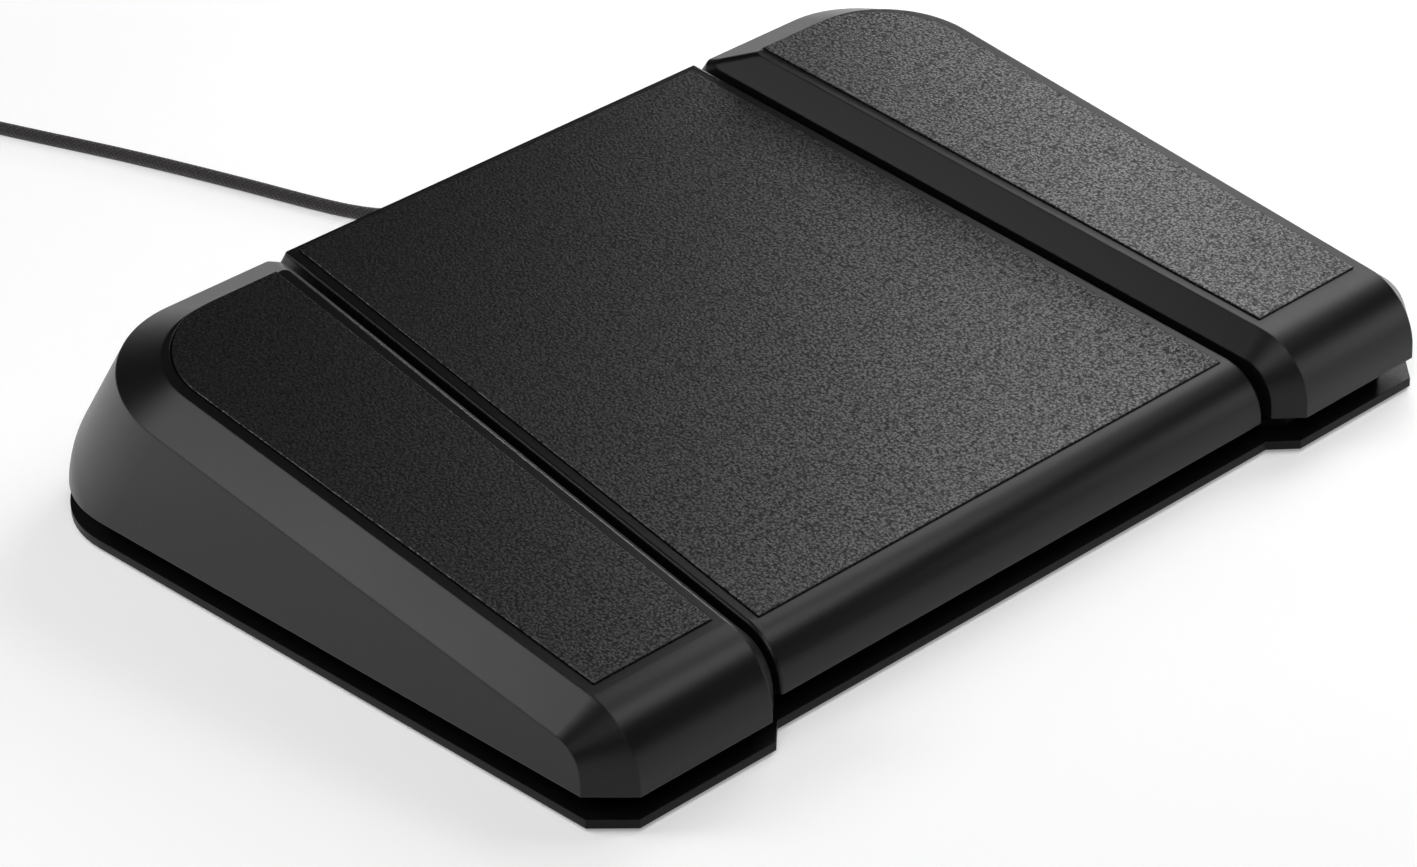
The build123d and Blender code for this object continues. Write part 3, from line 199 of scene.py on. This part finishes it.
def points_along(curve):
    """The points of a curve's line, read from its own evaluated form."""
    holder = bpy.data.objects.new("line_reader", curve)
    bpy.context.scene.collection.objects.link(holder)
    mesh = bpy.data.meshes.new_from_object(holder)
    points = [vertex.co.copy() for vertex in mesh.vertices]
    bpy.data.objects.remove(holder)
    bpy.data.meshes.remove(mesh)
    return points


points_per_span = 8
cord_line = points_along(nurbs_line("cord_line", route, points_per_span))
cord_length = sum((b - a).length for a, b in zip(cord_line, cord_line[1:]))
print("cord", round(cord_length, 3), "m in", len(cord_line), "points")

# %% [markdown]
# ## A tube with a braid
# The cord's sleeve is braided, so its finish needs to know how far along the cord and
# how far round it a point is. A tube made ring by ring can carry exactly that as its
# UV map, in metres. Each ring is turned as little as possible from the one before, so
# that the braid doesn't twist.

# %% Build the cord


def tube_mesh(name, line, radius, sides):
    """A tube round a line, with metres along and around it in its UV map."""
    mesh = bpy.data.meshes.new(name)
    vertices = []
    faces = []
    lengths = [0.0]
    heading = (line[1] - line[0]).normalized()
    across = heading.orthogonal().normalized()
    for index, point in enumerate(line):
        before = line[max(index - 1, 0)]
        after = line[min(index + 1, len(line) - 1)]
        heading = (after - before).normalized()
        across = (across - heading * across.dot(heading)).normalized()
        other = heading.cross(across)
        for side in range(sides):
            angle = 2 * math.pi * side / sides
            ray = across * math.cos(angle) + other * math.sin(angle)
            vertices.append(point + ray * radius)
        if index:
            lengths.append(lengths[-1] + (point - before).length)
            first = (index - 1) * sides
            for side in range(sides):
                near = first + side
                far = first + (side + 1) % sides
                faces.append((near, far, far + sides, near + sides))
    last = (len(line) - 1) * sides
    faces.append(tuple(reversed(range(sides))))
    faces.append(tuple(range(last, last + sides)))
    mesh.from_pydata(vertices, [], faces)
    grid = mesh.uv_layers.new(name="cord_grid")
    girth = 2 * math.pi * radius
    for face in mesh.polygons[: len(faces) - 2]:
        ring = face.index // sides
        side = face.index % sides
        corners = ((ring, side), (ring, side + 1), (ring + 1, side + 1), (ring + 1, side))
        for loop, (row, column) in zip(face.loop_indices, corners):
            grid.data[loop].uv = (lengths[row], girth * column / sides)
    for face in mesh.polygons:
        face.use_smooth = len(face.vertices) == 4
    mesh.update()
    return mesh


cord_sides = 16
cord_mesh = tube_mesh("braided_cord", cord_line, cord_diameter / 2, cord_sides)
cord = bpy.data.objects.new("braided_cord", cord_mesh)
bpy.context.scene.collection.objects.link(cord)
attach(cord, "base")
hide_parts("cord_run", "cord_coil", "cord_end")
print("faces on the cord:", len(cord.data.polygons))

# %% [markdown]
# ## Shader maths as sentences
# A finish is easier to read as an expression, such as `grain * 0.3 + 0.4`, than as a
# list of nodes and links. This small class holds one output of a node. The usual
# operators add the Math node that does the sum, and numbers may stand on either side.
# Colours and vectors would lose their three parts in a Math node, so they go through
# their own Mix and Vector Math nodes.

# %% A wire


class Wire:
    """One output of a shader node, which can be added, multiplied and so on."""

    def __init__(self, finish, socket):
        self.finish = finish
        self.socket = socket

    def sum_node(self, operation, *values):
        return self.finish.node(
            "ShaderNodeMath", {"operation": operation}, dict(enumerate(values))
        )

    def __add__(self, other):
        return self.sum_node("ADD", self, other)

    def __radd__(self, other):
        return self.sum_node("ADD", other, self)

    def __sub__(self, other):
        return self.sum_node("SUBTRACT", self, other)

    def __rsub__(self, other):
        return self.sum_node("SUBTRACT", other, self)

    def __mul__(self, other):
        return self.sum_node("MULTIPLY", self, other)

    def __rmul__(self, other):
        return self.sum_node("MULTIPLY", other, self)

    def __truediv__(self, other):
        return self.sum_node("DIVIDE", self, other)

    def __rtruediv__(self, other):
        return self.sum_node("DIVIDE", other, self)

    def __gt__(self, other):
        return self.sum_node("GREATER_THAN", self, other)

    def largest(self, other):
        return self.sum_node("MAXIMUM", self, other)

    def sine(self):
        return self.sum_node("SINE", self)

    def size(self):
        return self.sum_node("ABSOLUTE", self)


print("sums that a wire knows:", [word for word in vars(Wire) if word.startswith("__r")])

# %% [markdown]
# ## A finish
# A finish is one material. What is the same all over a piece is a constant on its
# shader, such as how strongly it mirrors, and what changes over the surface is a wire
# that feeds the shader. Every node is made by the one method `node`, and the methods
# after it give the nodes that nearly all the finishes here need: the place in metres,
# noise of a known size, relief of a known depth, and rounded edges.

# %% A finish


def socket_name(word):
    """The shader's own name of a constant: specular_ior_level is Specular IOR Level."""
    return word.replace("_", " ").title().replace("Ior", "IOR")


class Finish:
    """A material being made: its nodes, and the shader that they feed."""

    def __init__(self, name, colour, **constants):
        self.material = bpy.data.materials.new(name)
        self.material.use_nodes = True
        self.tree = self.material.node_tree
        self.shader = next(n for n in self.tree.nodes if n.type == "BSDF_PRINCIPLED")
        self.shader.inputs["Base Color"].default_value = (*colour, 1)
        for word, value in constants.items():
            self.shader.inputs[socket_name(word)].default_value = value

    def node(self, kind, settings=None, inputs=None, output=0):
        """Adds a node, sets it up, joins its inputs, and gives one of its outputs."""
        made = self.tree.nodes.new(kind)
        for label, value in (settings or {}).items():
            setattr(made, label, value)
        for label, value in (inputs or {}).items():
            if isinstance(value, Wire):
                self.tree.links.new(value.socket, made.inputs[label])
            else:
                made.inputs[label].default_value = value
        return Wire(self, made.outputs[output])

    def feed(self, label, wire):
        """Joins a wire to the shader's socket of this name."""
        self.tree.links.new(wire.socket, self.shader.inputs[label])

    def place(self):
        """Metres in the model's own frame, which stay with a piece as it moves."""
        return self.node("ShaderNodeTexCoord", output="Object")

    def noise(self, cell, detail=2.0, rough=0.5, where=None):
        """Noise whose blobs are about this many metres across."""
        return self.node(
            "ShaderNodeTexNoise", {},
            {"Vector": where or self.place(), "Scale": 1 / cell, "Detail": detail,
             "Roughness": rough},
        )

    def relief(self, height, depth, normal=None):
        """A Bump node: height runs from 0 to 1 over this many metres."""
        inputs = {"Height": height, "Distance": depth, "Strength": 1.0}
        if normal is not None:
            inputs["Normal"] = normal
        return self.node("ShaderNodeBump", {}, inputs)

    def soft_edges(self, radius):
        """Normals turned as if every edge had this small radius."""
        return self.node("ShaderNodeBevel", {"samples": 4}, {"Radius": radius})

    def put_on(self, *names):
        """Gives these pieces this finish and no other."""
        for name in names:
            piece = nodes[name]
            piece.data.materials.clear()
            piece.data.materials.append(self.material)
        print(self.material.name, "on", ", ".join(names))


print("a finish can be made and put on", len(nodes), "nodes")

# %% [markdown]
# ## Moulded plastic
# The shells are black plastic from a finely etched mould. From a step away they look
# satin, and close by the etching is a fine grain. It could be painted into the colour,
# but light shows it, not pigment, so it is a shallow relief with a little change in
# gloss. Edges of a moulding are never knife sharp, and the thin light lines along the
# pedals in the photograph are such edges, so the normals are rounded there.

# %% Finish of the shells
grain_cell = 0.00032
grain_depth = 0.00002
patch_cell = 0.035
shell_edge = 0.0005
shell = Finish("satin_moulded_plastic", (0.0032, 0.0032, 0.0033), specular_ior_level=0.27)
fine = shell.noise(grain_cell, 3.0, 0.6)
patches = shell.noise(patch_cell, 2.0)
shell.feed("Roughness", patches * 0.05 + fine * 0.10 + 0.25)
shell.feed("Normal", shell.relief(fine, grain_depth, shell.soft_edges(shell_edge)))
shell.put_on("left_pedal_shell", "middle_pedal_shell", "right_pedal_shell")

# %% [markdown]
# ## Textured pads
# Each pedal has a thin pad with a sandy grain: rounded pebbles a little under a
# millimetre across, of uneven size, with fine valleys between them. Cells of a Voronoi
# pattern give the pebbles, and noise bends them so that no grid shows. The relief is
# shallow, and most of the sparkle is gloss: a clear coat with a patchy weight makes the
# tops of some pebbles shinier. The same patchy pattern mixes two tints, paler on the
# pebble tops as a painted glint and darker in the valleys as painted shade.

# %% Finish of the pads
pebble_cell = 0.0007
dust_cell = 0.0005
bend_cell = 0.0016
bend_reach = 0.0003
pad_depth = 0.00011
pad_edge = 0.00015
pad = Finish(
    "grained_pad", (0.004, 0.004, 0.004), specular_ior_level=0.18, coat_roughness=0.33,
)
bend_noise = pad.node(
    "ShaderNodeTexNoise", {}, {"Vector": pad.place(), "Scale": 1 / bend_cell}, "Color",
)
bend = pad.node(
    "ShaderNodeVectorMath", {"operation": "MULTIPLY_ADD"},
    {0: bend_noise, 1: (bend_reach, bend_reach, 0), 2: pad.place()},
)
pebbles = pad.node(
    "ShaderNodeTexVoronoi", {"feature": "SMOOTH_F1"},
    {"Vector": bend, "Scale": 1 / pebble_cell, "Smoothness": 0.45, "Randomness": 0.9},
)
dust = pad.noise(dust_cell, 3.0, 0.75)
domes = 1 - pebbles
height = domes * 0.8 + dust * 0.35
# Patchy mask: real gloss as the coat weight, and a painted glint on the pebble tops in
# the tint
gloss_and_painted_glint = pad.node(
    "ShaderNodeMapRange", {},
    {"Value": dust + domes * 0.3, "From Min": 0.58, "From Max": 0.78},
)
# Painted glint and painted shade: paler on the pebble tops, darker in the valleys
painted_glint_and_shade = pad.node(
    "ShaderNodeMix", {"data_type": "RGBA"},
    {0: gloss_and_painted_glint, 6: (0.0012, 0.0012, 0.0012, 1), 7: (0.008, 0.008, 0.0081, 1)}, 2,
)
pad.feed("Base Color", painted_glint_and_shade)
pad.feed("Roughness", 0.62 - domes * 0.3)
pad.feed("Coat Weight", gloss_and_painted_glint)
pad.feed("Normal", pad.relief(height, pad_depth, pad.soft_edges(pad_edge)))
pad.put_on("left_pad", "middle_pad", "right_pad")

# %% [markdown]
# ## Powder coat and the dark plastic inside
# The bottom plate is thin sheet steel with a black powder coat, which lies on it like
# fine orange peel. Its rim is all that shows. The chassis inside is plain black
# plastic, duller than the shells.

# %% Finishes of the plate and the chassis
coat = Finish("black_powder_coat", (0.003, 0.003, 0.003), specular_ior_level=0.16)
peel = coat.noise(0.0007, 2.0, 0.55)
coat.feed("Roughness", peel * 0.12 + 0.38)
coat.feed("Normal", coat.relief(peel, 0.00004, coat.soft_edges(0.00035)))
coat.put_on("bottom_plate")

inside = Finish("dull_inner_plastic", (0.004, 0.004, 0.004), specular_ior_level=0.2)
inside_grain = inside.noise(0.0005, 2.0)
inside.feed("Roughness", inside_grain * 0.15 + 0.55)
inside.feed("Normal", inside.relief(inside_grain, 0.00003, inside.soft_edges(0.0003)))
inside.put_on("chassis")

# %% [markdown]
# ## Rubber
# Feet and bump stops are soft black rubber, which is dull, and a little duller still in
# patches. The strain relief and the strap are a smoother flexible plastic.

# %% Finishes of the rubber pieces
rubber = Finish("matt_rubber", (0.012, 0.012, 0.012), specular_ior_level=0.25)
speck = rubber.noise(0.0004, 3.0, 0.6)
bloom = rubber.noise(0.006, 2.0)
rubber.feed("Roughness", bloom * 0.15 + 0.68)
rubber.feed("Normal", rubber.relief(speck, 0.00004, rubber.soft_edges(0.0003)))
rubber.put_on("rubber_feet", "bump_stops")

flexible = Finish("flexible_moulding", (0.013, 0.013, 0.0135), specular_ior_level=0.45)
skin = flexible.noise(0.0004, 2.0)
flexible.feed("Roughness", skin * 0.12 + 0.45)
flexible.feed("Normal", flexible.relief(skin, 0.00002, flexible.soft_edges(0.0002)))
flexible.put_on("strain_relief", "cord_tie", "plug_body", "switch_bodies")

# %% [markdown]
# ## Metals
# Pins and springs are bright steel. Turned and drawn steel has fine scratches along
# one direction, which widen its highlights, so stretched noise changes the gloss. The
# screws under the plate are blackened, and the plug's shell is nickel plated.

# %% Finishes of the metal pieces


def metal(name, colour, rough, stretch):
    """Bare metal with fine marks drawn out along the axes where stretch is small."""
    made = Finish(name, colour, metallic=1.0)
    drawn = made.node(
        "ShaderNodeVectorMath", {"operation": "MULTIPLY"}, {0: made.place(), 1: stretch}
    )
    marks = made.noise(0.0004, 2.0, 0.6, drawn)
    made.feed("Roughness", marks * 0.18 + rough)
    made.feed("Normal", made.relief(marks, 0.000006, made.soft_edges(0.00015)))
    return made


metal("ground_steel", (0.56, 0.56, 0.57), 0.22, (0.08, 1, 1)).put_on(
    "side_hinge_pins", "middle_hinge_pin")
metal("spring_wire", (0.5, 0.5, 0.52), 0.26, (1, 1, 1)).put_on(
    "left_spring", "middle_spring", "right_spring")
metal("zinc_plate", (0.55, 0.56, 0.58), 0.3, (1, 1, 0.3)).put_on(
    "left_stop_screw", "middle_stop_screw", "right_stop_screw", "board_screws")
metal("black_oxide", (0.05, 0.05, 0.052), 0.35, (1, 1, 0.3)).put_on("plate_screws")
metal("nickel_plate", (0.72, 0.71, 0.68), 0.16, (1, 1, 1)).put_on("plug_shell")

# %% [markdown]
# ## The circuit board and what stands on it
# The board is glass fibre under a green lacquer, with the weave just visible as a
# slight unevenness. The header is pale plastic, the chip is dull black resin, and the
# three switch plungers are red.

# %% Finishes of the electronics
lacquer = Finish("green_lacquer", (0.012, 0.09, 0.035), specular_ior_level=0.5)
lacquer_spots = lacquer.noise(0.004, 3.0)
tint = lacquer.node(
    "ShaderNodeMix", {"data_type": "RGBA"},
    {0: lacquer_spots, 6: (0.010, 0.075, 0.028, 1), 7: (0.016, 0.11, 0.045, 1)}, 2,
)
lacquer.feed("Base Color", tint)
lacquer.feed("Roughness", lacquer_spots * 0.15 + 0.25)
lacquer.put_on("circuit_board")

resin = Finish("chip_resin", (0.018, 0.018, 0.019))
resin.feed("Roughness", resin.noise(0.0003, 2.0) * 0.2 + 0.55)
resin.put_on("controller_chip")

ivory = Finish("ivory_plastic", (0.75, 0.71, 0.6))
ivory.feed("Roughness", ivory.noise(0.0006, 2.0) * 0.15 + 0.4)
ivory.put_on("cord_header")

red = Finish("red_plastic", (0.5, 0.04, 0.03))
red.feed("Roughness", red.noise(0.0004, 2.0) * 0.15 + 0.35)
red.put_on("left_plunger", "middle_plunger", "right_plunger")

# %% [markdown]
# ## The braid
# The sleeve is braided from flat bundles of yarn that run round the cord both ways and
# go over and under each other. Two slanting waves over the cord's own map give the
# bundles. Where the product of two slower waves is positive one set is on top, and
# elsewhere the other is, which is the over and under of a braid. The yarn itself is
# too fine to show one by one, so it is a fine noise drawn out along the cord. The colour
# is the yarn's own on the bundles, with painted shade in the gaps between them and
# where one set dips under the other.

# %% Finish of the cord
bundles_round = 8
bundle_pitch = 0.0052
braid = Finish(
    "braided_sleeve", (0.02, 0.02, 0.02), specular_ior_level=0.35, sheen_weight=0.25,
    sheen_roughness=0.45,
)
cord_girth = math.pi * cord_diameter
along_round = braid.node("ShaderNodeUVMap", {"uv_map": "cord_grid"})
along = braid.node("ShaderNodeSeparateXYZ", {}, {0: along_round}, "X")
around = braid.node("ShaderNodeSeparateXYZ", {}, {0: along_round}, "Y")
run = along * (2 * math.pi / bundle_pitch * bundles_round / 4)
turn = around * (2 * math.pi / cord_girth * bundles_round / 2)
one_way = (run + turn).sine()
other_way = (run - turn).sine()
on_top = (((run + turn) / 2).sine() * ((run - turn) / 2).sine()) > 0
first_set = one_way.size() * (0.6 + on_top * 0.4)
second_set = other_way.size() * (1 - on_top * 0.4)
weave = first_set.largest(second_set)
yarn = braid.noise(0.00025, 3.0, 0.7)
# Yarn colour on the bundles, with painted shade in the gaps and under the crossings
yarn_colour_and_painted_shade = braid.node(
    "ShaderNodeMix", {"data_type": "RGBA"},
    {0: weave, 6: (0.006, 0.005, 0.0055, 1), 7: (0.028, 0.024, 0.027, 1)}, 2,
)
braid.feed("Base Color", yarn_colour_and_painted_shade)
braid.feed("Roughness", 0.85 - weave * 0.2)
braid.feed("Normal", braid.relief(weave + yarn * 0.3, 0.00022))
cord.data.materials.append(braid.material)
print("braid bundles:", bundles_round)

# %% [markdown]
# ## The floor
# The object stands on a round white sweep of paper, whose far rim curls up a little so
# that no edge shows on the horizon. It is a real surface that takes the object's
# shadow. To a camera ray and to a reflection it also glows: a little near the object,
# where the shadow has to stay, and up to plain white further out. So the paper is white
# in the picture and in the glossy sides without any more light on the object. The rim
# is kept low, because a high white wall would be mirrored in the rounded noses.

# %% Floor
sweep_profile = [
    (0.5, 0.0), (1.2, 0.0), (2.2, 0.0), (2.6, 0.02),
    (2.9, 0.09), (3.05, 0.2), (3.1, 0.36),
]
sweep_sides = 48
sweep_points = [(0.0, 0.0, 0.0)]
for radius, height in sweep_profile:
    for side in range(sweep_sides):
        angle = 2 * math.pi * side / sweep_sides
        sweep_points.append((radius * math.cos(angle), radius * math.sin(angle), height))
sweep_faces = [(0, 1 + side, 1 + (side + 1) % sweep_sides) for side in range(sweep_sides)]
for ring in range(len(sweep_profile) - 1):
    first = 1 + ring * sweep_sides
    for side in range(sweep_sides):
        near, far = first + side, first + (side + 1) % sweep_sides
        sweep_faces.append((near, near + sweep_sides, far + sweep_sides, far))
sweep_mesh = bpy.data.meshes.new("paper_sweep")
sweep_mesh.from_pydata(sweep_points, [], sweep_faces)
for face in sweep_mesh.polygons:
    face.use_smooth = True
sweep = bpy.data.objects.new("paper_sweep", sweep_mesh)
bpy.context.scene.collection.objects.link(sweep)
print("sweep", 2 * sweep_profile[-1][0], "m across")

# %% [markdown]
# ## The paper's glow
# The glow is added to the paper's own shader, so the shadow still shows through it. It
# is mixed in only where a camera ray, a mirrored ray or a ray through glass arrives:
# the paper lights the object no more than plain paper does.

# %% Finish of the paper
near_glow = 0.27
glow_starts = 0.14
glow_full = 0.42
paper = Finish("white_paper", (0.82, 0.82, 0.82), roughness=0.9, specular_ior_level=0.0)
seen = paper.node("ShaderNodeLightPath", output="Is Camera Ray")
mirrored = paper.node("ShaderNodeLightPath", output="Is Glossy Ray")
through = paper.node("ShaderNodeLightPath", output="Is Transmission Ray")
watched = seen.largest(mirrored).largest(through)
from_middle = paper.node(
    "ShaderNodeVectorMath", {"operation": "LENGTH"}, {0: paper.place()}, "Value"
)
far_share = paper.node(
    "ShaderNodeMapRange", {"interpolation_type": "SMOOTHSTEP"},
    {"Value": from_middle, "From Min": glow_starts, "From Max": glow_full},
)
plain = Wire(paper, paper.shader.outputs[0])
lift = paper.node(
    "ShaderNodeEmission", {}, {"Color": (1, 1, 1, 1), "Strength": near_glow}
)
lifted = paper.node("ShaderNodeAddShader", {}, {0: plain, 1: lift})
white = paper.node("ShaderNodeEmission", {}, {"Color": (1, 1, 1, 1), "Strength": 1.0})
spread = paper.node("ShaderNodeMixShader", {}, {0: far_share, 1: lifted, 2: white})
shown = paper.node("ShaderNodeMixShader", {}, {0: watched, 1: plain, 2: spread})
ending = next(n for n in paper.tree.nodes if n.type == "OUTPUT_MATERIAL")
paper.tree.links.new(shown.socket, ending.inputs["Surface"])
sweep_mesh.materials.append(paper.material)
print("plain white from", glow_full, "m off the middle")

# %% [markdown]
# ## The light
# Black plastic shows its shape by what it mirrors, so the places of the softboxes
# matter more than their brightness. The key box is far off to the front left, where
# the tops hardly mirror it: it lights the paper and makes the shadow. The others are
# small and stand about half a metre from the object. Seen from the right pedal and from
# the left one such a near box lies in quite different directions, and that gives the
# fade from the bright right front to the dark left back. The two boxes on the left are
# for the slanted side of the left pedal and the inner slope of the right one. Each box
# has its place, the point it looks at, its width and height, and its watts.

# %% Softboxes


def softbox(name, place, target, width, height, watts):
    """A flat rectangular lamp at a place, turned towards its target."""
    lamp = bpy.data.lights.new(name, "AREA")
    lamp.shape = "RECTANGLE"
    lamp.size = width
    lamp.size_y = height
    lamp.energy = watts
    stand = bpy.data.objects.new(name, lamp)
    bpy.context.scene.collection.objects.link(stand)
    stand.location = place
    aim = Vector(target) - Vector(place)
    stand.rotation_euler = aim.to_track_quat("-Z", "Y").to_euler()
    print(name, "at", place)


boxes = {
    "key_box": ((-1.14, -1.14, 1.92), (0, 0, 0), 1.2, 1.2, 26.6),
    "right_box": ((0.362, 0.064, 0.409), (0, 0, 0.02), 0.24, 0.32, 0.8),
    "right_side_box": ((0.45, -0.02, 0.33), (0, 0, 0.02), 0.2, 0.2, 0.17),
    "right_low_box": ((0.46, 0.266, 0.142), (0, 0, 0.03), 0.165, 0.165, 0.85),
    "right_front_box": ((0.211, -0.234, 0.45), (0, 0, 0.02), 0.2, 0.17, 0.45),
    "front_low_box": ((0.407, -0.34, 0.142), (0, 0, 0.02), 0.2, 0.165, 0.25),
    "left_box": ((-0.382, 0.178, 0.354), (0, 0, 0.02), 0.17, 0.24, 0.52),
    "left_far_box": ((-0.695, 0.695, 0.688), (0, 0, 0.02), 0.36, 0.36, 1.8),
}
for name, setting in boxes.items():
    softbox(name, *setting)

world = bpy.data.worlds.new("dim_studio")
world.use_nodes = True
sky = world.node_tree.nodes["Background"]
sky.inputs["Color"].default_value = (1, 1, 1, 1)
sky.inputs["Strength"].default_value = 0.03
bpy.context.scene.world = world
bpy.context.scene.view_settings.view_transform = "Standard"
